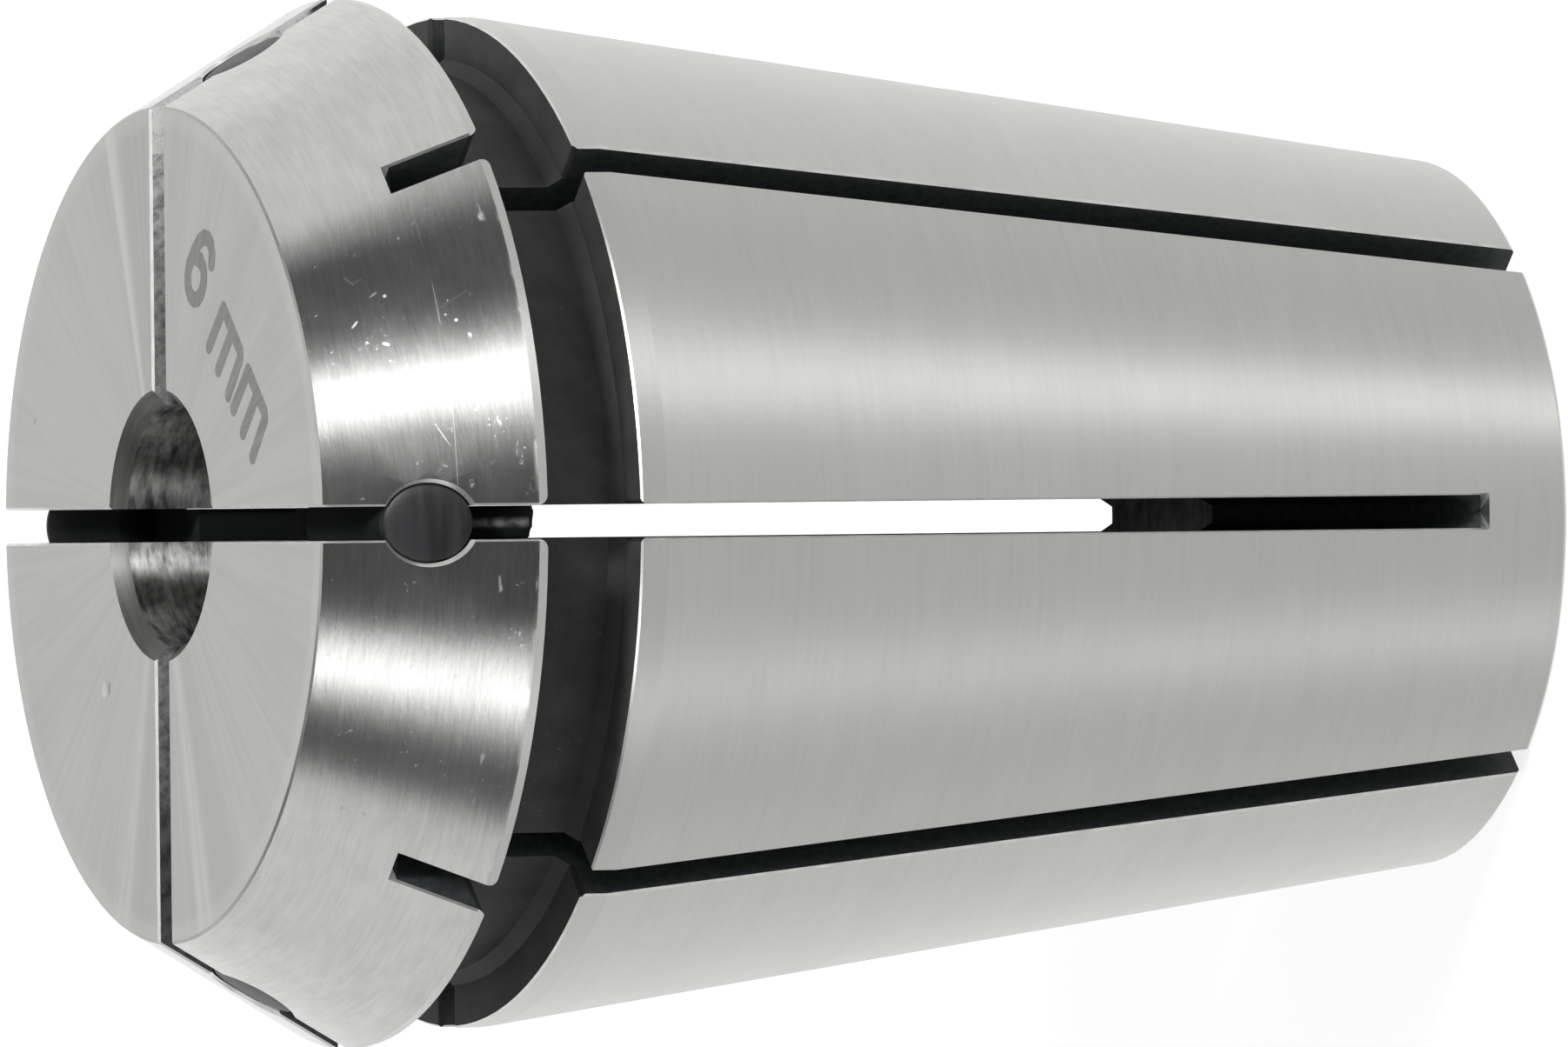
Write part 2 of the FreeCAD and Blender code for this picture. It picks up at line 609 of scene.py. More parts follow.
@dataclass(frozen=True)
class GroundSteel(Finish):
    """Bright steel ground round the axis.

    Args:
        colour: Its mean colour.
        contrast: How much the lines change the colour.
        roughness: Its mean roughness.
        anisotropy: How far highlights spread across the lines.
        fineness: Lines for each millimetre of height.
        depth: Strength of the lines' bump.
        length: How short the lines are, as breaks for each millimetre round the axis.
        specks: How strongly specks and scuffs show.
        scuffed_below: Height below which scuffs gather, in millimetres.
        mottle: Strength of the shallow unevenness that frays the highlights.
        clouds: How much the roughness changes in slow clouds.
        dark_below: Height below which the metal darkens, in millimetres.
        rings: Duller rings round the axis: height and half width in millimetres, and roughness.
        damage: Marks at known places.
    """

    colour: Triple
    contrast: float
    roughness: float
    anisotropy: float
    fineness: float
    depth: float
    length: float = 0.25
    specks: float = 0.0
    scuffed_below: float = 0.0
    mottle: float = 0.1
    clouds: float = 0.15
    dark_below: float = -10.0
    rings: tuple[Triple, ...] = ()
    damage: tuple[Damage, ...] = ()

    def dress(self, bench: Bench) -> None:
        """Give the shader its inputs.

        Args:
            bench: What the finish is made with.
        """
        tree, here = bench.tree, bench.here
        lines = bench.place(GroundLines.NAME, fineness=self.fineness, length=self.length)
        wear = bench.place(Wear.NAME, cover=0.4 + 0.3 * self.specks)
        both = tree.blend(lines["Lines"], lines["Streaks"], 0.6)
        dark, light = shade(self.colour, 1 - self.contrast), shade(self.colour, 1 + self.contrast)
        base = tree.tones(both, 0.25, 0.75, dark, light)

        low = tree.span(here.height, self.scuffed_below, self.scuffed_below - 1.0)
        worn = tree.maths("MAXIMUM", tree.times(wear["Specks"], 0.6), tree.times(wear["Scuffs"], low))
        shown = tree.times(worn, self.specks)
        base = tree.tint(base, shown, 0.5, (0.9, 0.9, 0.88, 1.0))
        smoother, rougher = self.roughness * (1 - self.clouds), self.roughness * (1 + self.clouds)
        cloudy = tree.span(lines["Clouds"], 0.3, 0.7, smoother, rougher)
        rough = tree.maths("ADD", cloudy, tree.times(shown, 0.7), clamp=True)

        patchy = tree.span(wear["Patch"], 0.0, 1.0, 0.55, 1.0)
        for height, half, dullness in self.rings:
            gap = tree.maths("ABSOLUTE", tree.maths("SUBTRACT", here.height, height))
            ring = tree.times(tree.span(gap, half, 0.0), patchy)
            rough = tree.maths("MAXIMUM", rough, tree.times(ring, dullness))
        for mark in self.damage:
            base, rough = mark.lay(bench, base, rough)
        deep = tree.span(here.height, self.dark_below + 3.0, self.dark_below)
        base = tree.tint(base, deep, 0.85, (0.02, 0.02, 0.02, 1.0))

        uneven = tree.noise(tree.vector("MULTIPLY", here.place, (1.6, 1.6, 10.0)), 1.0, 3.0, 0.6)
        tree.feed(bench.shader, {
            "Base Color": base,
            "Roughness": rough,
            "Normal": tree.bump(uneven, self.mottle, 0.012, tree.bump(both, self.depth, 0.002)),
            "Tangent": tree.add("ShaderNodeTangent", direction_type="RADIAL", axis="Z").outputs[0],
            "Metallic": 1.0,
            "Anisotropic": self.anisotropy,
            "Anisotropic Rotation": 0.25,
        })


@dataclass(frozen=True)
class FanGroundSteel(Finish):
    """Bright steel whose grinding lines run out from the axis, lighter towards its outer edge, with painted
    highlights and painted shade in fans.

    Args:
        colour: Its mean colour.
        contrast: How much the lines change the colour.
        roughness: Its roughness.
        edge_radius: Radius at which the lighter outer band starts, in millimetres.
        fans: Fans of painted highlight at known places: azimuth from the near slot towards +X and half width
            in degrees,
        and how much lighter they are; a negative value paints shade.
        damage: Marks at known places.
    """

    colour: Triple
    contrast: float
    roughness: float
    edge_radius: float
    fans: tuple[Triple, ...] = ()
    damage: tuple[Damage, ...] = ()

    def fan(self, bench: Bench, azimuth: float, half: float) -> Socket:
        """Mask of one fan of painted light.

        Args:
            bench: What the finish is made with.
            azimuth: Direction of the fan's middle in degrees.
            half: Half the fan's width in degrees.

        Returns:
            The mask.
        """
        tree, turn = bench.tree, math.radians(azimuth)
        east = tree.times(bench.here.east, math.sin(turn))
        north = tree.times(bench.here.north, -math.cos(turn))
        return tree.span(tree.maths("ADD", east, north), math.cos(math.radians(half * 1.3)), 1.0)

    def dress(self, bench: Bench) -> None:
        """Give the shader its inputs.

        Args:
            bench: What the finish is made with.
        """
        tree = bench.tree
        lines = bench.place(FanLines.NAME)
        wear = bench.place(Wear.NAME, cover=0.3)
        both = tree.blend(lines["Lines"], lines["Fans"], 0.5)
        dark, light = shade(self.colour, 1 - self.contrast), shade(self.colour, 1 + self.contrast)
        base = tree.tones(both, 0.3, 0.7, dark, light)
        frayed = tree.span(lines["Lines"], 0.3, 0.6, 0.3, 1.0)
        # Painted highlights in fans by azimuth, standing in for the turned face's highlights; a negative
        # share paints shade.
        for azimuth, half, lighter in self.fans:
            mask = tree.times(self.fan(bench, azimuth, half), frayed)
            base = tree.mix(mask, base, shade(self.colour, 1.0 + lighter))
        band = tree.span(bench.here.radius, self.edge_radius, self.edge_radius + 0.4)
        base = tree.tint(base, band, 0.3, shade(self.colour, 1.3))
        base = tree.tint(base, wear["Specks"], 0.25, (0.2, 0.2, 0.2, 1.0))
        rough: object = self.roughness
        for mark in self.damage:
            base, rough = mark.lay(bench, base, rough)
        normal = tree.bump(lines["Lines"], 0.3, 0.002)
        tree.feed(bench.shader, {"Base Color": base, "Roughness": rough, "Normal": normal, "Metallic": 1.0})


@dataclass(frozen=True)
class CloudySteel(Finish):
    """Steel with cloudy variation and chance bright grains: oxide, holes and small edges.

    Args:
        dark: Its darker colour.
        light: Its lighter colour.
        metallic: How metallic it is.
        roughness: Its roughness.
        grain: Clouds for each millimetre.
        depth: Strength of the bump.
        specks: How strongly chance specks show.
    """

    dark: Triple
    light: Triple
    metallic: float = 0.0
    roughness: float = 0.6
    grain: float = 0.7
    depth: float = 0.2
    specks: float = 0.1

    def dress(self, bench: Bench) -> None:
        """Give the shader its inputs.

        Args:
            bench: What the finish is made with.
        """
        tree = bench.tree
        cloud = tree.noise(bench.here.place, self.grain, 4.0, 0.6)
        base = tree.tones(cloud, 0.25, 0.75, shade(self.dark), shade(self.light))
        wear = bench.place(Wear.NAME, fineness=9.0, cover=0.6)
        tree.feed(bench.shader, {
            "Base Color": tree.tint(base, wear["Specks"], self.specks, (0.6, 0.6, 0.58, 1.0)),
            "Normal": tree.bump(cloud, self.depth, 0.01),
            "Metallic": self.metallic,
            "Roughness": self.roughness,
        })


@dataclass(frozen=True)
class SawnSteel(Finish):
    """Walls of the sawn slots: dark oxide, but bare close to the face and the cone in the slots along X,
    where painted light lies on the bare metal: white painted glints at the +X slot's outer end and painted
    shade towards -X.

    Args:
        dark: Darker colour of the oxide.
        light: Its lighter colour.
        sizes: Sizes of the collet.
        bare_above: Height above which the metal is bare, in millimetres.
        tones: Painted light on the bare metal by place along X: millimetres and grey, rising to white painted
            glints at +X.
        painted_light_width: Width that the painted light in the tones is spread over, in millimetres.
    """

    dark: Triple
    light: Triple
    sizes: ColletSizes
    bare_above: float
    tones: Pairs
    painted_light_width: float = 26.0

    def bare(self, bench: Bench) -> Socket:
        """Mask of the bare metal.

        Args:
            bench: What the finish is made with.

        Returns:
            The mask.
        """
        tree, here, sizes = bench.tree, bench.here, self.sizes
        reach = tree.maths("MULTIPLY_ADD", here.height, sizes.slant, here.radius)
        on_cone = tree.span(here.height, sizes.cone_base + 0.2, sizes.cone_base + 0.5)
        near_skin = tree.times(tree.span(reach, sizes.cone_foot - 0.5, sizes.cone_foot - 0.25), on_cone)
        near_face = tree.span(here.height, self.bare_above, self.bare_above + 0.25)
        across = tree.times(tree.maths("ABSOLUTE", here.north), here.radius)
        return tree.times(tree.maths("MAXIMUM", near_skin, near_face), tree.span(across, 0.75, 0.6))

    def dress(self, bench: Bench) -> None:
        """Give the shader its inputs.

        Args:
            bench: What the finish is made with.
        """
        tree, here = bench.tree, bench.here
        cloud = tree.noise(here.place, 5.0, 4.0, 0.6)
        oxide = tree.tones(cloud, 0.25, 0.75, shade(self.dark), shade(self.light))
        # Painted light on the bare metal: a grey ramp along X, painted glints up to white at the +X slot's
        # outer end and painted shade towards -X, grained by saw marks.
        share = tree.maths("MULTIPLY_ADD", tree.times(here.east, here.radius), 1 / self.painted_light_width, 0.5)
        tone = tree.ramp(share, [(place / self.painted_light_width + 0.5, grey) for place, grey in self.tones])
        saw = tree.noise(tree.combine(tree.vector("DOT_PRODUCT", here.place, (2.2, 0.0, 2.2))), 1.0, 2.0)
        grain = tree.blend(saw, tree.noise(here.place, 4.5, 5.0, 0.72), 0.4)
        grain_and_painted_glints = tree.mix(1.0, tone, tree.span(grain, 0.35, 0.62, 0.45, 1.5), "MULTIPLY")
        tree.feed(bench.shader, {
            "Base Color": tree.mix(self.bare(bench), oxide, grain_and_painted_glints),
            "Normal": tree.bump(cloud, 0.5, 0.01),
            "Metallic": 0.0,
            "Roughness": 0.5,
        })


@dataclass(frozen=True)
class SealRubber(Finish):
    """Black moulded rubber: striped, greyed plug ends, and a painted highlight along the middle of the fin's
    outer edge.

    Args:
        dark: Colour of the fin and of the stripes.
        light: Colour of the plug's greyed end.
        sizes: Sizes of the collet.
    """

    dark: Triple
    light: Triple
    sizes: ColletSizes

    def dress(self, bench: Bench) -> None:
        """Give the shader its inputs.

        Args:
            bench: What the finish is made with.
        """
        tree, here, skin = bench.tree, bench.here, self.sizes.cone_foot
        stripes = tree.noise(tree.vector("MULTIPLY", here.place, (0.25, 0.25, 3.2)), 1.0, 2.0, 0.5)
        reach = tree.maths("MULTIPLY_ADD", here.height, self.sizes.slant, here.radius)
        plug = tree.span(reach, skin - 0.4, skin - 0.2)
        striped = tree.tones(stripes, 0.36, 0.64, shade(self.light, 0.4), shade(self.light))
        base = tree.mix(plug, shade(self.dark), striped)
        wear = bench.place(Wear.NAME, fineness=9.0, cover=0.6)
        base = tree.tint(base, wear["Specks"], 0.1, (0.3, 0.3, 0.3, 1.0))

        # Painted highlight: a light streak along the middle of the fin's outer edge, below the plug, laid
        # into the colour.
        side = tree.maths("MINIMUM", tree.maths("ABSOLUTE", here.east), tree.maths("ABSOLUTE", here.north))
        fin = tree.span(reach, skin - 1.3, skin - 1.15)
        plug_low = self.sizes.hole_height - self.sizes.hole_radius
        below_plug = tree.span(here.height, plug_low, plug_low - 0.05)
        middle = tree.span(tree.times(side, here.radius), 0.17, 0.0)
        painted_highlight = tree.times(middle, tree.times(fin, below_plug))
        uneven = tree.span(tree.noise(here.place, 4.0, 3.0), 0.3, 0.65, 0.25, 1.0)
        tree.feed(bench.shader, {
            "Base Color": tree.mix(tree.times(painted_highlight, uneven), base, (0.34, 0.34, 0.32, 1.0)),
            "Roughness": tree.span(plug, 0.0, 1.0, 1.0, 0.4),
            "Normal": tree.bump(tree.noise(here.place, 6.0, 3.0), 0.3, 0.01),
            "Specular IOR Level": 0.4,
        })


@dataclass(frozen=True)
class LaserMark(Finish):
    """Dull grey of a laser mark on bright steel.

    Args:
        dark: Its darker colour.
        light: Its lighter colour.
    """

    dark: Triple
    light: Triple

    def dress(self, bench: Bench) -> None:
        """Give the shader its inputs.

        Args:
            bench: What the finish is made with.
        """
        tree = bench.tree
        fans = bench.place(FanLines.NAME)
        both = tree.blend(tree.noise(bench.here.place, 14.0, 2.0, 0.7), fans["Lines"], 0.5)
        tone = tree.tones(both, 0.35, 0.65, shade(self.dark), shade(self.light))
        tree.feed(bench.shader, {"Base Color": tone, "Metallic": 1.0, "Roughness": 0.45})


FACE_DAMAGE_AND_PAINTED_SHADE = (
    Damage((-4.06, 3.79, 34.0), (0.07, 0.0, 0.0), 0.16, 0.95, 0.8),
    # Painted shade: this darker spot beside the ding above paints the shade on the dent's far side.
    Damage((-4.0, 3.45, 34.0), (0.1, 0.0, 0.0), 0.1, 0.3, 0.6),
    Damage((2.61, 8.19, 34.0), width=0.12, light=0.3, share=0.5),
)

CONE_DAMAGE = (
    Damage((2.06, -11.61, 31.32), (-0.32, -0.16, -0.17), 0.025, 0.95, 0.55),
    Damage((5.4, -10.86, 30.73), (0.2, -0.09, -0.3), 0.04, 0.8, 0.27),
    Damage((5.86, -9.24, 32.79), (-0.08, -0.1, -0.07), 0.045, 0.9, 0.35),
    Damage((5.85, -9.36, 32.62), (0.07, -0.03, -0.1), 0.045, 0.9, 0.3),
    Damage((5.49, -9.9, 32.13), width=0.08, light=0.95),
    Damage((5.51, -9.73, 32.38), (0.05, 0.0, -0.08), 0.05, 0.9, 0.5),
    Damage((4.79, -9.78, 32.88), (0.1, 0.03, -0.12), 0.06, 0.9, 0.6),
    Damage((4.33, -10.36, 32.3), (-0.02, -0.02, -0.05), 0.07, 0.95, 0.7),
    Damage((6.89, -9.41, 31.55), width=0.07, light=0.9, share=0.5),
    Damage((4.89, -11.08, 30.76), width=0.07, light=0.95),
    Damage((4.55, -11.37, 30.54), (0.06, 0.0, 0.05), 0.06, 0.95, 0.6),
)

# Painted light on the face: fans of painted highlight, and of painted shade where the last number is
# negative.
FACE_PAINTED_FANS = (
    (107.3, 2.2, 0.22), (98.0, 8.0, -0.12), (-74.5, 3.5, 0.16), (-66.0, 6.0, -0.07),
    (-106.0, 3.0, 0.1), (-98.0, 5.0, -0.1), (150.0, 20.0, 0.04),
)

# Painted light on the bare slot walls by place along X: white painted glints at the +X slot's outer end,
# painted shade towards -X.
SLOT_PAINTED_LIGHT = (
    (-12.9, 0.07), (-8.0, 0.09), (-5.5, 0.22), (-3.0, 0.28), (3.0, 0.3), (5.5, 0.29), (7.8, 0.52),
    (8.8, 0.55), (9.2, 1.0),
)

FINISHES = {
    Region.FACE: FanGroundSteel(
        "steel_fan_ground", (0.615, 0.615, 0.595), contrast=0.06, roughness=0.3, edge_radius=9.6,
        fans=FACE_PAINTED_FANS, damage=FACE_DAMAGE_AND_PAINTED_SHADE),
    Region.CONE: GroundSteel(
        "steel_cone_ground", (0.66, 0.66, 0.65), contrast=0.1, roughness=0.155, anisotropy=0.5, fineness=11.0,
        depth=0.15, length=0.8, specks=0.75, scuffed_below=31.0, mottle=0.22,
        rings=((31.1, 0.04, 0.27), (29.3, 0.32, 0.5)), damage=CONE_DAMAGE),
    Region.RIM: GroundSteel(
        "steel_rim_ground", (0.66, 0.66, 0.64), contrast=0.05, roughness=0.3, anisotropy=0.3, fineness=10.0,
        depth=0.2, length=0.4, specks=0.4),
    Region.TAPER: GroundSteel(
        "steel_taper_ground", (0.63, 0.63, 0.61), contrast=0.035, roughness=0.32, anisotropy=0.5,
        fineness=9.0, depth=0.2, length=0.3, specks=0.2, clouds=0.04),
    Region.REAR: GroundSteel(
        "steel_rear_turned", (0.55, 0.55, 0.53), contrast=0.08, roughness=0.36, anisotropy=0.3, fineness=8.0,
        depth=0.3, specks=0.3),
    Region.GROOVE: CloudySteel("oxide_groove", (0.014, 0.015, 0.014), (0.042, 0.043, 0.041), specks=0.25),
    # The rear wall's own oxide, painted lighter than the floor's to offset the shade that the rim casts on
    # it.
    Region.WALL: CloudySteel("oxide_wall_painted_light", (0.04, 0.042, 0.04), (0.07, 0.072, 0.068), specks=0.25),
    Region.BEVEL: CloudySteel("oxide_corner", (0.016, 0.017, 0.016), (0.034, 0.035, 0.033)),
    Region.BREAK: GroundSteel(
        "steel_face_break", (0.6, 0.6, 0.58), contrast=0.06, roughness=0.4, anisotropy=0.0, fineness=8.0,
        depth=0.2),
    Region.SLOT: SawnSteel(
        "oxide_slot_wall", (0.035, 0.041, 0.044), (0.075, 0.081, 0.084), SIZES, bare_above=33.4,
        tones=SLOT_PAINTED_LIGHT),
    Region.HOLE: CloudySteel(
        "steel_drilled", (0.35, 0.35, 0.34), (0.6, 0.6, 0.58), metallic=1.0, roughness=0.35, grain=3.0,
        depth=0.3),
    Region.BORE: GroundSteel(
        "steel_bore", (0.36, 0.358, 0.35), contrast=0.95, roughness=0.42, anisotropy=1.0, fineness=5.0,
        depth=0.8, length=1.4, specks=0.6, mottle=0.8, dark_below=14.0),
    Region.MOUTH: GroundSteel(
        "steel_mouth", (0.15, 0.15, 0.145), contrast=0.3, roughness=0.5, anisotropy=0.4, fineness=9.0,
        depth=0.4, length=0.5, specks=0.4),
    Region.EDGE: CloudySteel(
        "steel_broken_edge", (0.75, 0.75, 0.73), (0.95, 0.95, 0.93), metallic=1.0, roughness=0.3, grain=2.0,
        depth=0.1),
}


def stand(name: str, data: bpy.types.ID) -> bpy.types.Object:
    """Put a mesh or a camera in the scene.

    Args:
        name: The object's name.
        data: The mesh or camera.

    Returns:
        The object.
    """
    thing = bpy.data.objects.new(name, data)
    bpy.context.scene.collection.objects.link(thing)
    return thing


@dataclass(frozen=True)
class Facet:
    """One facet of the body, in millimetres about the axis.

    Args:
        corners: Its corners.
        normal: Its outward normal.
    """

    SIDEWAYS = 0.2

    corners: list[Vector]
    normal: Vector

    @property
    def depths(self) -> list[float]:
        """Distances of its corners from the axis."""
        return [math.hypot(corner.x, corner.y) for corner in self.corners]

    @property
    def slope(self) -> float:
        """Angle of the normal above the horizontal.

        Returns:
            Degrees, or 180 where the normal points round the axis.
        """
        middle = sum(self.corners, Vector()) / len(self.corners)
        radius = math.hypot(middle.x, middle.y)
        outward = (self.normal.x * middle.x + self.normal.y * middle.y) / radius
        around = (self.normal.y * middle.x - self.normal.x * middle.y) / radius
        return math.degrees(math.atan2(self.normal.z, outward)) if abs(around) < self.SIDEWAYS else 180.0

    def on(self, radius: Callable[[float], float], slack: float = 0.004) -> bool:
        """Whether every corner lies on a turned surface, given by its radius at a height."""
        return all(abs(deep - radius(corner.z)) < slack for deep, corner in zip(self.depths, self.corners))

    def between(self, low: float, high: float, slack: float = 0.002) -> bool:
        """Whether every corner lies between two heights."""
        return all(low - slack < corner.z < high + slack for corner in self.corners)


@dataclass
class SteelBody:
    """The turned and slotted body, dressed region by region.

    Args:
        sizes: Sizes of the collet.
        groups: Shared shader groups.
        node: Name of the frame's node.
        break_reach: Height of the band below the face that holds its broken edge, in millimetres.
        slot_roundings: How far the roundings at the slots reach past the groove's rear and front walls.
        slack: How far a corner may lie off its surface, in millimetres.
        upright: How far the normal of the groove's rear wall points up, at least.
        leaning: How far the normal of the bevel above that wall points up, at least.
    """

    sizes: ColletSizes
    groups: Groups
    node: str = "collet_body"
    break_reach: float = 0.1
    slot_roundings: tuple[float, float] = (0.2, 0.3)
    slack: float = 0.002
    upright: float = 0.9
    leaning: float = 0.3

    def turned_region(self, facet: Facet) -> Region | None:
        """Tell which outer turned surface a facet lies on.

        Args:
            facet: The facet.

        Returns:
            The region, or None where it lies on none of them.
        """
        sizes, top = self.sizes, self.sizes.length
        surfaces = (
            (Region.FACE, 90.0, 2.0, top, top, None),
            (Region.REAR, -61.0, 31.0, 0.0, sizes.tail_edge, None),
            (Region.CONE, sizes.cone_angle, 8.0, sizes.cone_base, top, sizes.cone_radius),
            (Region.RIM, 0.0, 8.0, sizes.rim_base, sizes.cone_base, lambda height: sizes.rim_radius),
            (Region.TAPER, -sizes.taper_angle / 2, 12.0, 0.0, sizes.body_top, sizes.taper_radius),
            (Region.BREAK, 60.0, 15.0, top - self.break_reach, top, None),
        )
        for region, slope, spread, low, high, radius in surfaces:
            fits = facet.between(low, high) and (radius is None or facet.on(radius))
            if fits and abs(facet.slope - slope) < spread:
                return region
        return None

    def region_of(self, facet: Facet) -> Region:
        """Tell which surface a facet belongs to.

        Args:
            facet: The facet.

        Returns:
            The region.
        """
        turned = self.turned_region(facet)
        if turned:
            return turned
        if abs(abs(facet.slope) - 180) < 3 and facet.on(lambda height: self.sizes.bore_radius):
            return Region.BORE
        if self.in_mouth(facet):
            return Region.MOUTH
        if self.in_groove(facet):
            if facet.normal.z > self.upright:
                return Region.WALL
            return Region.BEVEL if facet.normal.z > self.leaning else Region.GROOVE
        if self.in_hole(facet):
            return Region.HOLE
        return Region.SLOT if self.in_kerf(facet) else Region.EDGE

    def in_mouth(self, facet: Facet) -> bool:
        """Whether a facet lies on a chamfer at either end of the bore.

        Args:
            facet: The facet.

        Returns:
            Whether it does.
        """
        reach, top = self.sizes.mouth_chamfer, self.sizes.length
        at_end = facet.between(0, reach) or facet.between(top - reach, top)
        inside = max(facet.depths) < self.sizes.bore_radius + reach + self.slack
        return at_end and inside and abs(facet.normal.z) > 0.5

    def in_groove(self, facet: Facet) -> bool:
        """Whether a facet lies on the nut groove's floor, walls, bevels or the roundings at its slots.

        Args:
            facet: The facet.

        Returns:
            Whether it does.
        """
        sizes, deepest = self.sizes, min(facet.depths)
        below, above = self.slot_roundings
        if not facet.between(sizes.body_top - below, sizes.rim_base + above) or self.in_kerf(facet):
            return False
        inside = all(sizes.body_top + 0.01 < corner.z < sizes.rim_base - 0.01 for corner in facet.corners)
        return deepest > sizes.floor_radius - 0.05 and (inside or deepest < sizes.body_radius - 0.1)

    def in_hole(self, facet: Facet) -> bool:
        """Whether a facet lies on the wall of a cross hole.

        Args:
            facet: The facet.

        Returns:
            Whether it does.
        """
        for corner in facet.corners:
            away = math.hypot(min(abs(corner.x), abs(corner.y)), corner.z - self.sizes.hole_height)
            if abs(away - self.sizes.hole_radius) > 2 * self.slack:
                return False
        return True

    def in_kerf(self, facet: Facet) -> bool:
        """Whether a facet lies on the wall or the floor of a slot.

        Args:
            facet: The facet.

        Returns:
            Whether it does.
        """
        for corner in facet.corners:
            front = min(abs(corner.x), abs(corner.y))
            rear = min(abs(corner.x - corner.y), abs(corner.x + corner.y)) * math.sqrt(0.5)
            if min(front, rear) > self.sizes.slot_width / 2 + self.slack:
                return False
        return True

    def build(self) -> bpy.types.Object:
        """Copy the frame's body, merge its corners and dress each facet.

        Returns:
            The dressed piece.
        """
        source = frame["nodes"][self.node].data
        order = list(Region)
        places: dict[tuple, int] = {}
        points: list[Vector] = []
        index_of: list[int] = []
        for vertex in source.vertices:
            key = tuple(round(part * 1e8) for part in vertex.co)
            if key not in places:
                places[key] = len(points)
                points.append(vertex.co.copy())
            index_of.append(places[key])
        facets: list[tuple] = []
        regions: list[int] = []
        normals: list[Vector] = []
        for polygon in source.polygons:
            corners = tuple(index_of[number] for number in polygon.vertices)
            if len(set(corners)) < 3:
                continue
            facets.append(corners)
            normals += [source.corner_normals[loop].vector.copy() for loop in polygon.loop_indices]
            facet = Facet([points[number] / MM for number in corners], polygon.normal)
            regions.append(order.index(self.region_of(facet)))
        mesh = bpy.data.meshes.new("collet_steel")
        mesh.from_pydata(points, [], facets)
        mesh.polygons.foreach_set("material_index", regions)
        mesh.polygons.foreach_set("use_smooth", [True] * len(facets))
        mesh.normals_split_custom_set(normals)
        for region in order:
            mesh.materials.append(FINISHES[region].build(self.groups))
        mesh.update()
        piece = stand("collet_steel", mesh)
        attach(piece, "root")
        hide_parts(self.node)
        counts = {region.value: regions.count(index) for index, region in enumerate(order)}
        LOG.info("collet_steel facets %s", counts)
        return piece


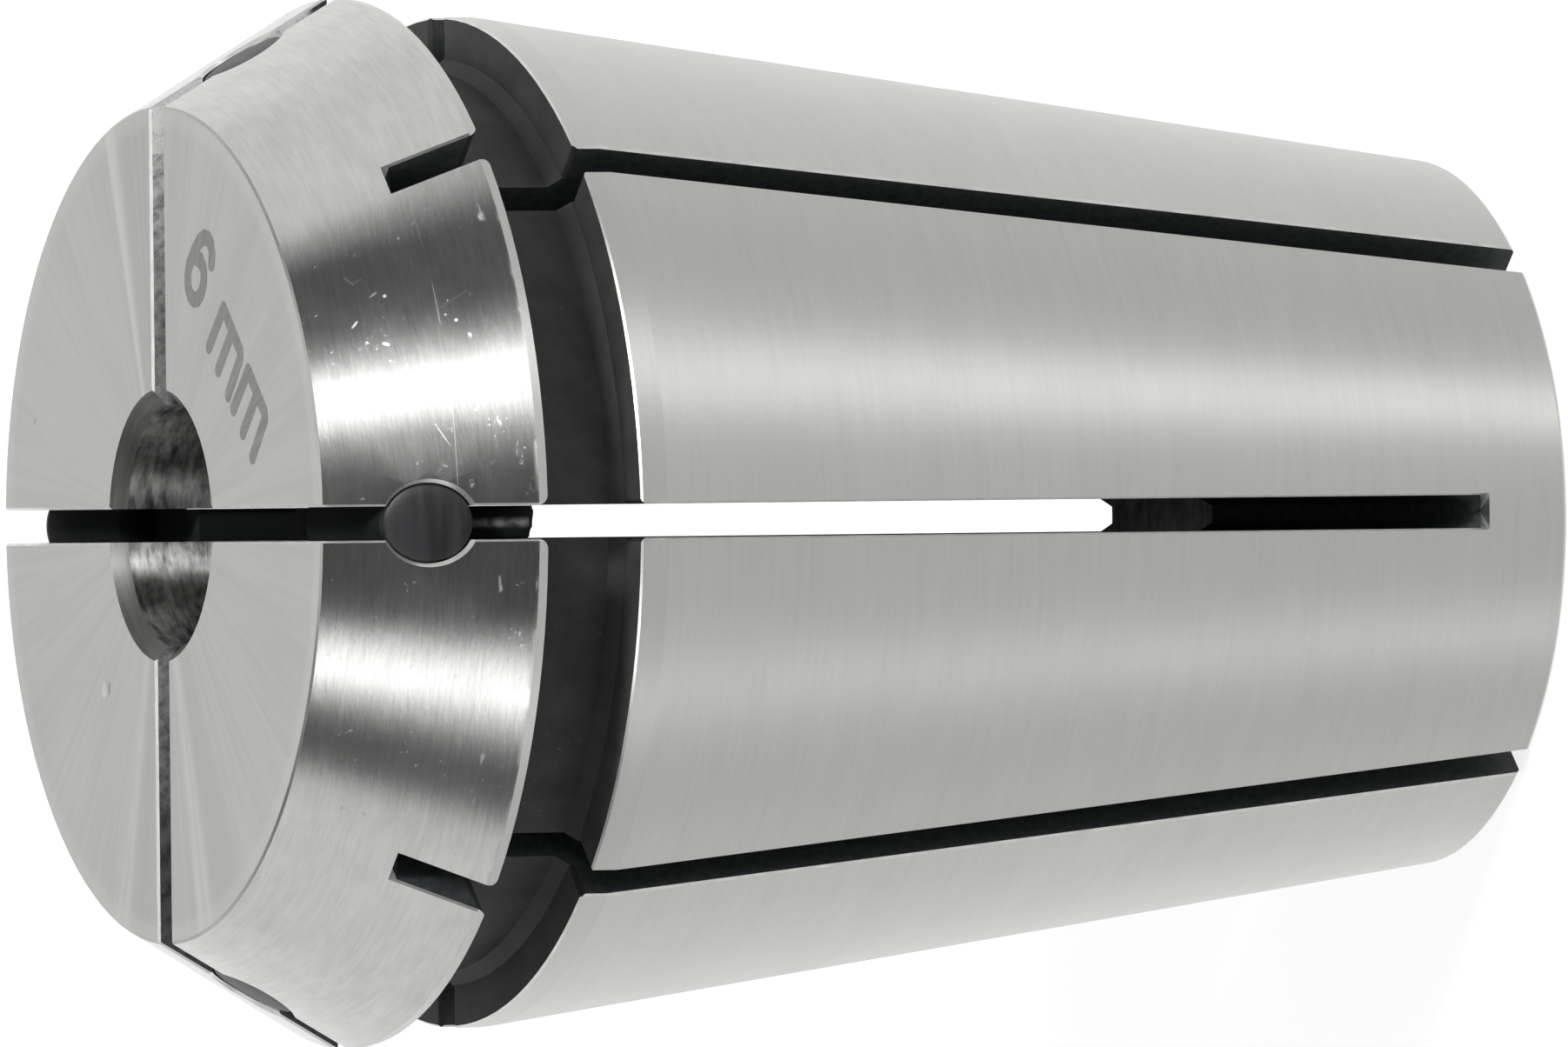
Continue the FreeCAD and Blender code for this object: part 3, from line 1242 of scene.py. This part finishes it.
@dataclass
class Seals:
    """The four rubber seals: one plug and fin, repeated round the axis.

    Args:
        sizes: Sizes of the collet.
        groups: Shared shader groups.
        dome: How far the plug's end swells, in millimetres.
        plug_edge: Bevel of the plug's inner end, in millimetres.
        end_rounding: Where the rounding of its outer end starts below the skin, in millimetres.
        end_inset: How far that rounding takes the outer end in, in millimetres.
        end_drop: How far the outer end's edge drops, in millimetres.
        overhang: How far the fin's torn rear end reaches into the nut groove, in millimetres.
        rear_dip: How far the fin's outer edge dips at its rear end, in millimetres.
        ripples: Waves of the fin's outer edge: size in millimetres, rate and start in radians.
        steps: Corners of the plug's circle.
        fin_levels: Cross sections of the fin.
        edge_steps: Steps round the fin's outer edge.
    """

    sizes: ColletSizes
    groups: Groups
    dome: float = 0.04
    plug_edge: float = 0.05
    end_rounding: float = 0.12
    end_inset: float = 0.03
    end_drop: float = 0.02
    overhang: float = 0.14
    rear_dip: float = 0.12
    ripples: tuple[Triple, ...] = ((0.012, 9.1, 0.0), (0.008, 23.7, 1.0))
    steps: int = 64
    fin_levels: int = 15
    edge_steps: int = 12

    def skin(self, across: float, height: float) -> float:
        """Distance from the axis at which the plug's end lies under the cone."""
        return math.sqrt((self.sizes.cone_radius(height) - self.sizes.plug_recess) ** 2 - across ** 2)

    def plug_rings(self) -> list[list[Triple]]:
        """Rings of the plug in the seal that faces +X, from its inner end to the middle of its dome.

        Returns:
            The rings, each a list of points in millimetres.
        """
        sizes, edge = self.sizes, self.plug_edge
        wide = sizes.hole_radius - sizes.seal_clearance
        inner = sizes.hole_floor + sizes.seal_clearance
        stations = [(inner, 0.0, None), (inner, wide - edge, None), (inner + edge, wide, None)]
        stations.append((0.0, wide, self.end_rounding))
        for share in (1.0, 0.97, 0.9, 0.75, 0.5, 0.25, 0.0):
            under = self.dome * share ** 4 + self.end_drop * share ** 20
            stations.append((0.0, (wide - self.end_inset) * share, under))
        rings = []
        for out, radius, under in stations:
            ring = []
            for step in range(self.steps):
                angle = 2 * math.pi * step / self.steps
                across, height = radius * math.cos(angle), sizes.hole_height + radius * math.sin(angle)
                ring.append((out if under is None else self.skin(across, height) - under, across, height))
            rings.append(ring)
        return rings

    def fin_rings(self) -> list[list[Triple]]:
        """Cross sections of the fin, from its rear end up into the plug.

        Returns:
            The cross sections, each a list of points in millimetres.
        """
        sizes = self.sizes
        half = sizes.slot_width / 2 - sizes.seal_clearance
        inner = sizes.bore_radius + sizes.seal_bore_clearance
        rear = sizes.rim_base - self.overhang
        rings = []
        for level in range(self.fin_levels):
            share = level / (self.fin_levels - 1)
            height = rear + share * (sizes.hole_height - rear)
            reach = sizes.cone_radius(max(height, sizes.cone_base)) - sizes.fin_recess
            reach -= self.rear_dip * (1 - share) ** 14
            reach += sum(size * math.sin(rate * share + start) for size, rate, start in self.ripples)
            ragged = self.overhang * (1 - share) ** 6
            ring = [(inner, half, height), (inner, -half, height)]
            for turn in range(self.edge_steps + 1):
                angle = -math.pi / 2 + math.pi * turn / self.edge_steps
                torn = ragged * (0.45 - 0.45 * math.sin(angle) + 0.16 * math.sin(7.0 * angle))
                out = reach - half * 0.55 * (1 - math.cos(angle))
                ring.append((out, half * math.sin(angle), height + torn))
            rings.append(ring)
        return rings

    def make_one(self) -> bpy.types.Mesh:
        """Make the mesh of the seal that faces +X.

        Returns:
            The mesh, closed and facing outwards.
        """
        work = bmesh.new()
        for rings in (self.plug_rings(), self.fin_rings()):
            loops = [[work.verts.new(Vector(place) * MM) for place in ring] for ring in rings]
            for low, high in zip(loops, loops[1:]):
                for index in range(len(low)):
                    after = (index + 1) % len(low)
                    work.faces.new((low[index], low[after], high[after], high[index]))
            work.faces.new(loops[0])
            work.faces.new(loops[-1])
        bmesh.ops.remove_doubles(work, verts=work.verts, dist=1e-7)
        bmesh.ops.recalc_face_normals(work, faces=work.faces)
        mesh = bpy.data.meshes.new("slot_seals")
        work.to_mesh(mesh)
        work.free()
        mesh.polygons.foreach_set("use_smooth", [True] * len(mesh.polygons))
        mesh.set_sharp_from_angle(angle=math.radians(50))
        return mesh

    def ring_tree(self) -> bpy.types.NodeTree:
        """Build the tree that repeats a seal round the axis.

        Returns:
            The tree, with inputs for the number of seals and their finish.
        """
        group = bpy.data.node_groups.new("Seal ring", "GeometryNodeTree")
        for label, kind in (("Seal", "Geometry"), ("Number", "Int"), ("Finish", "Material")):
            group.interface.new_socket(label, in_out="INPUT", socket_type="NodeSocket" + kind)
        group.interface.new_socket("Seals", in_out="OUTPUT", socket_type="NodeSocketGeometry")
        tree = Tree(group)
        given = tree.add("NodeGroupInput").outputs
        points = tree.add("GeometryNodePoints", {"Count": given["Number"]})
        pitch = tree.maths("DIVIDE", 2 * math.pi, given["Number"])
        turn = tree.combine(z=tree.times(tree.add("GeometryNodeInputIndex").outputs[0], pitch))
        inputs = {"Points": points.outputs[0], "Instance": given["Seal"], "Rotation": turn}
        copies = tree.add("GeometryNodeInstanceOnPoints", inputs)
        real = tree.add("GeometryNodeRealizeInstances", {0: copies.outputs[0]})
        dress = {"Geometry": real.outputs[0], "Material": given["Finish"]}
        tree.add("NodeGroupOutput", {0: tree.add("GeometryNodeSetMaterial", dress).outputs[0]})
        return group

    def build(self) -> bpy.types.Object:
        """Make the seals as one plain mesh.

        Returns:
            The piece.
        """
        finish = SealRubber("seal_rubber", (0.005, 0.0065, 0.007), (0.03, 0.031, 0.033), self.sizes)
        piece = stand("slot_seals", self.make_one())
        ring = piece.modifiers.new("ring", "NODES")
        ring.node_group = self.ring_tree()
        values = {"Number": self.sizes.slots_per_end, "Finish": finish.build(self.groups)}
        for item in ring.node_group.interface.items_tree:
            if item.name in values:
                ring[item.identifier] = values[item.name]
        graph = bpy.context.evaluated_depsgraph_get()
        mesh = bpy.data.meshes.new_from_object(piece.evaluated_get(graph), depsgraph=graph)
        piece.modifiers.clear()
        piece.data = mesh
        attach(piece, "root")
        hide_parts(*["slot_seal_" + str(number + 1) for number in range(self.sizes.slots_per_end)])
        LOG.info("slot_seals %d facets", len(mesh.polygons))
        return piece


@dataclass(frozen=True)
class Stroke:
    """One round-ended stroke of a sign.

    Args:
        points: Points of its middle line: millimetres along and above the line through the axis.
        half: Half its width in millimetres.
    """

    points: Pairs
    half: float = 0.2

    def outlines(self, steps: int = 24) -> list[list[Vector]]:
        """Outlines of its straight pieces, whose round ends share their corners.

        Args:
            steps: Corners of a full circle.

        Returns:
            The outlines.
        """
        turns = [2 * math.pi * (step + 0.5) / steps for step in range(steps)]
        rim = [Vector((math.cos(turn), math.sin(turn))) for turn in turns]
        outlines = []
        for start, end in zip(map(Vector, self.points), map(Vector, self.points[1:])):
            outlines.append([(end if ray.dot(end - start) > 0 else start) + ray * self.half for ray in rim])
        return outlines


def letter_m(left: float, middle: float, right: float) -> tuple[Stroke, ...]:
    """Strokes of an m.

    Args:
        left: Where its left leg stands along the line, in millimetres.
        middle: Where its middle leg stands.
        right: Where its right leg stands.

    Returns:
        The strokes.
    """
    top, foot, half = 6.7, 5.38, 0.185
    shoulder = ((right - 0.14, top), (right - 0.02, top - 0.12))
    arch = ((left - 0.01, foot), (left + 0.01, top)) + shoulder + ((right + 0.05, foot),)
    return Stroke(arch, half), Stroke(((middle, foot), (middle, top)), half)


SIX = Stroke((
    (-2.05, 6.96), (-2.19, 7.17), (-2.42, 7.27), (-2.63, 7.25), (-2.82, 7.11), (-2.97, 6.84), (-3.05, 6.42),
    (-3.05, 5.95), (-2.95, 5.68), (-2.74, 5.5), (-2.5, 5.45), (-2.27, 5.52), (-2.09, 5.72), (-2.03, 6.0),
    (-2.1, 6.3), (-2.3, 6.5), (-2.6, 6.53), (-2.85, 6.38),
))


@dataclass
class SizeMark:
    """The bore size in plain signs on the front face.

    Args:
        sizes: Sizes of the collet.
        groups: Shared shader groups.
        azimuth: Direction of the mark from the axis, in degrees from +X.
        proud: How far the mark stands above the face in millimetres.
        strokes: The strokes of the signs.
    """

    sizes: ColletSizes
    groups: Groups
    azimuth: float = -45.0
    proud: float = 0.006
    strokes: tuple[Stroke, ...] = (SIX,) + letter_m(-0.76, 0.035, 0.86) + letter_m(1.4, 2.21, 3.0)

    def build(self) -> bpy.types.Object:
        """Make the mark as one thin closed mesh that stands a little proud of the face.

        Returns:
            The piece.
        """
        corners: list[Vector] = []
        outlines: list[list[int]] = []
        for stroke in self.strokes:
            for outline in stroke.outlines():
                outlines.append(list(range(len(corners), len(corners) + len(outline))))
                corners += outline
        flat = delaunay_2d_cdt(corners, [], outlines, 1, 1e-4)
        work = bmesh.new()
        points = [work.verts.new((corner.x, corner.y, self.sizes.length - self.proud)) for corner in flat[0]]
        inked = [facet for facet, owners in zip(flat[2], flat[5]) if owners]
        lower = [work.faces.new([points[index] for index in facet]) for facet in inked]
        raised = bmesh.ops.extrude_face_region(work, geom=lower, use_keep_orig=True)["geom"]
        for part in raised:
            if isinstance(part, bmesh.types.BMVert):
                part.co.z = self.sizes.length + self.proud
        bmesh.ops.delete(work, geom=[point for point in work.verts if not point.link_faces], context="VERTS")
        work.transform(Matrix.Scale(MM, 4) @ Matrix.Rotation(math.radians(self.azimuth - 90), 4, "Z"))
        bmesh.ops.recalc_face_normals(work, faces=work.faces)
        mesh = bpy.data.meshes.new("size_mark")
        work.to_mesh(mesh)
        work.free()
        finish = LaserMark("laser_grey", (0.33, 0.33, 0.32), (0.44, 0.44, 0.43))
        mesh.materials.append(finish.build(self.groups))
        piece = stand("size_mark", mesh)
        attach(piece, "root")
        LOG.info("size_mark %d facets", len(mesh.polygons))
        return piece


@dataclass
class Camera:
    """The photograph's viewpoint, fitted to the collet's outline.

    Args:
        tilt: Height of the viewpoint above the horizontal, in degrees.
        roll: Turn of the camera from the collet lying level, in degrees.
        azimuth: Direction of the viewpoint from -Y towards +X, in degrees.
        scale: Pixels for each millimetre at the front face.
        nearness: One over the distance in millimetres.
        centre: Pixel of the front face's centre.
        width: Width of the image in pixels.
        height: Height of the image in pixels.
        sensor: Width of the sensor in millimetres.
        clip: Nearest and farthest distance that it sees, in metres.
    """

    tilt: float = 23.715
    roll: float = -0.637
    azimuth: float = 0.05
    scale: float = 46.934
    nearness: float = 0.00176045
    centre: tuple[float, float] = (184.45, 604.5)
    width: int = 1803
    height: int = 1204
    sensor: float = 36.0
    clip: tuple[float, float] = (0.05, 20.0)

    def build(self, face_height: float) -> bpy.types.Object:
        """Make the camera.

        Args:
            face_height: Height of the front face in millimetres.

        Returns:
            The camera.
        """
        tilt = math.radians(self.tilt)
        roll = math.radians(self.roll)
        azimuth = math.radians(self.azimuth)
        level = Vector((math.sin(azimuth), -math.cos(azimuth), 0.0))
        upright = Vector((0.0, 0.0, 1.0))
        towards = level * math.cos(tilt) + upright * math.sin(tilt)
        level_right = level * math.sin(tilt) - upright * math.cos(tilt)
        level_up = Vector((math.cos(azimuth), math.sin(azimuth), 0.0))
        right = level_right * math.cos(roll) + level_up * math.sin(roll)
        down = level_right * math.sin(roll) - level_up * math.cos(roll)
        distance = 1.0 / self.nearness
        aside = (self.centre[0] - self.width / 2) / self.scale
        below = (self.centre[1] - self.height / 2) / self.scale
        place = Vector((0.0, 0.0, face_height)) - right * aside - down * below + towards * distance
        data = bpy.data.cameras.new("photo_view")
        data.sensor_width = self.sensor
        data.lens = self.scale / self.nearness * data.sensor_width / self.width
        data.clip_start, data.clip_end = self.clip
        camera = stand("photo_view", data)
        turn = Matrix((right, -down, towards)).transposed().to_4x4()
        camera.matrix_world = Matrix.Translation(place * MM) @ turn
        bpy.context.scene.camera = camera
        return camera


@dataclass
class Studio:
    """Pale floor and a soft tent of light with strips either side of the viewpoint.

    A strip is given by its stops: degrees from -Y towards +X, and brightness. A rise is the sine of
    the angle above the horizontal, and a pair of rises is where something starts to show and is full.

    Args:
        floor_size: Half the floor's width in metres.
        floor_grey: Colour of the floor.
        floor_glow: What the floor adds to the camera's view, so that it is white where it is lit.
        level: Strength of the tent where it is white.
        above: Strips of the tent's upper part, as shares of the level.
        above_from: Rises at which the upper part takes over from the lower one.
        below: Strips of its lower part.
        level_with: Strips of a narrow band level with the collet.
        band: Rises, up or down, at which that band shows.
        over: Strips between the upper part and the roof.
        over_from: Rises at which they take over.
        roof: Brightness of the roof.
        roof_from: Rises at which it takes over.
        lamps: Where the two high lamps stand, as strips.
        lamps_from: Rises of the lamps' lower edge.
        lamps_to: Rises of the lamps' upper edge.
        lamp_level: Strength that the lamps add.
    """

    floor_size: float = 1.5
    floor_grey: float = 0.45
    floor_glow: float = 0.78
    level: float = 2.0
    above: Pairs = (
        (-180, 0.38), (-84, 0.38), (-75, 0.34), (-68, 0.08), (-60, 0.05), (-54, 0.1), (-48, 0.42),
        (-43, 0.9), (-37, 0.86), (-32, 0.5), (-28, 0.2), (-24, 0.06), (-20, 0.03), (0, 0.03), (12, 0.04),
        (18, 0.13), (25, 0.42), (29, 1.0), (38, 0.97), (44, 0.27), (49, 0.09), (56, 0.05), (74, 0.05),
        (81, 0.2), (86, 0.36), (92, 0.39), (180, 0.38))
    above_from: tuple[float, float] = (-0.15, 0.2)
    below: Pairs = (
        (-180, 0.5), (-127, 0.42), (-103, 0.37), (-75, 0.31), (-54, 0.3), (-47, 0.46), (-37, 0.46),
        (-30, 0.3), (0, 0.31), (27, 0.3), (31, 0.7), (42, 0.7), (48, 0.3), (80, 0.3), (103, 0.37),
        (127, 0.42), (180, 0.5))
    level_with: Pairs = (
        (-180, 0.45), (-125, 0.4), (-106, 0.16), (-80, 0.12), (-60, 0.15), (0, 0.15), (60, 0.3),
        (80, 0.4), (86, 1.0), (98, 1.0), (106, 0.5), (135, 0.45), (180, 0.45))
    band: tuple[float, float] = (0.12, 0.02)
    over: Pairs = (
        (-180, 0.1), (-100, 0.05), (-60, 0.1), (-44, 0.25), (-28, 0.06), (0, 0.05), (30, 0.06), (40, 1.0),
        (49, 1.0), (55, 0.2), (90, 0.1), (180, 0.1))
    over_from: tuple[float, float] = (0.56, 0.68)
    roof: float = 0.45
    roof_from: tuple[float, float] = (0.96, 0.985)
    lamps: Pairs = (
        (-180, 0.0), (-44, 0.0), (-40, 1.0), (-34, 1.0), (-30, 0.0), (36, 0.0), (40, 1.0), (49, 1.0),
        (53, 0.0), (180, 0.0))
    lamps_from: tuple[float, float] = (0.75, 0.78)
    lamps_to: tuple[float, float] = (0.93, 0.89)
    lamp_level: float = 50.0

    def build(self) -> None:
        """Make the floor and the world, and set how brightness is shown."""
        self.make_floor()
        self.make_world()
        bpy.context.scene.view_settings.view_transform = "Standard"

    def make_floor(self) -> None:
        """Make the floor: white with the object's shadow to the camera, and the tent in reflections."""
        half = self.floor_size
        mesh = bpy.data.meshes.new("floor")
        corners = [(-half, -half, 0), (half, -half, 0), (half, half, 0), (-half, half, 0)]
        mesh.from_pydata(corners, [], [(0, 1, 2, 3)])
        floor = stand("floor", mesh)
        material, tree, shader = new_material("floor_white")
        pale = shade((self.floor_grey,) * 3)
        tree.feed(shader, {"Base Color": pale, "Roughness": 0.9, "Specular IOR Level": 0.0})
        path = tree.add("ShaderNodeLightPath").outputs
        glow = tree.times(path["Is Camera Ray"], self.floor_glow)
        white = tree.add("ShaderNodeEmission", {"Color": (1.0, 1.0, 1.0, 1.0), "Strength": glow})
        lit = tree.add("ShaderNodeAddShader", {0: shader.outputs[0], 1: white.outputs[0]})
        clear = tree.add("ShaderNodeBsdfTransparent")
        shaders = {0: path["Is Glossy Ray"], 1: lit.outputs[0], 2: clear.outputs[0]}
        blend = tree.add("ShaderNodeMixShader", shaders)
        tree.feed(material.node_tree.nodes["Material Output"], {"Surface": blend.outputs[0]})
        mesh.materials.append(material)
        LOG.info("floor %.1f m wide", 2 * half)

    def make_world(self) -> None:
        """Make the tent: strips by azimuth, stronger above than below, and white to the camera."""
        world = bpy.data.worlds.new("tent")
        bpy.context.scene.world = world
        world.use_nodes = True
        tree = Tree(world.node_tree)
        x, y, rise = tree.split(tree.add("ShaderNodeTexCoord").outputs["Generated"])
        azimuth = tree.maths("ARCTAN2", x, tree.times(y, -1.0))
        share = tree.maths("MULTIPLY_ADD", azimuth, 0.5 / math.pi, 0.5)

        def strips(stops: Pairs) -> Socket:
            """Brightness by azimuth."""
            return tree.ramp(share, [(degrees / 360 + 0.5, value) for degrees, value in stops])

        tent = tree.mix(tree.span(rise, *self.above_from), strips(self.below), strips(self.above))
        tent = tree.mix(tree.span(tree.maths("ABSOLUTE", rise), *self.band), tent, strips(self.level_with))
        tent = tree.mix(tree.span(rise, *self.over_from), tent, strips(self.over))
        tent = tree.mix(tree.span(rise, *self.roof_from), tent, shade((self.roof,) * 3))
        seen = tree.add("ShaderNodeLightPath").outputs["Is Camera Ray"]
        high = tree.times(tree.span(rise, *self.lamps_from), tree.span(rise, *self.lamps_to))
        lamps = tree.times(high, strips(self.lamps))
        unseen_level = tree.times(tree.maths("SUBTRACT", 1.0, seen), self.lamp_level)
        tree.feed(world.node_tree.nodes["Background"], {
            "Color": tree.mix(seen, tent, shade((1.0 / self.level,) * 3)),
            "Strength": tree.maths("ADD", tree.times(lamps, unseen_level), self.level),
        })


def main() -> None:
    """Build the dressed collet, its camera and its studio."""
    logging.basicConfig(level=logging.INFO, format="%(name)s: %(message)s")
    for leftover in [thing for thing in bpy.data.objects if thing.name in ("Cube", "Light", "Camera")]:
        bpy.data.objects.remove(leftover)
    groups = Groups()
    SteelBody(SIZES, groups).build()
    Seals(SIZES, groups).build()
    SizeMark(SIZES, groups).build()
    Camera().build(SIZES.length)
    Studio().build()


if __name__ == "__main__":
    main()
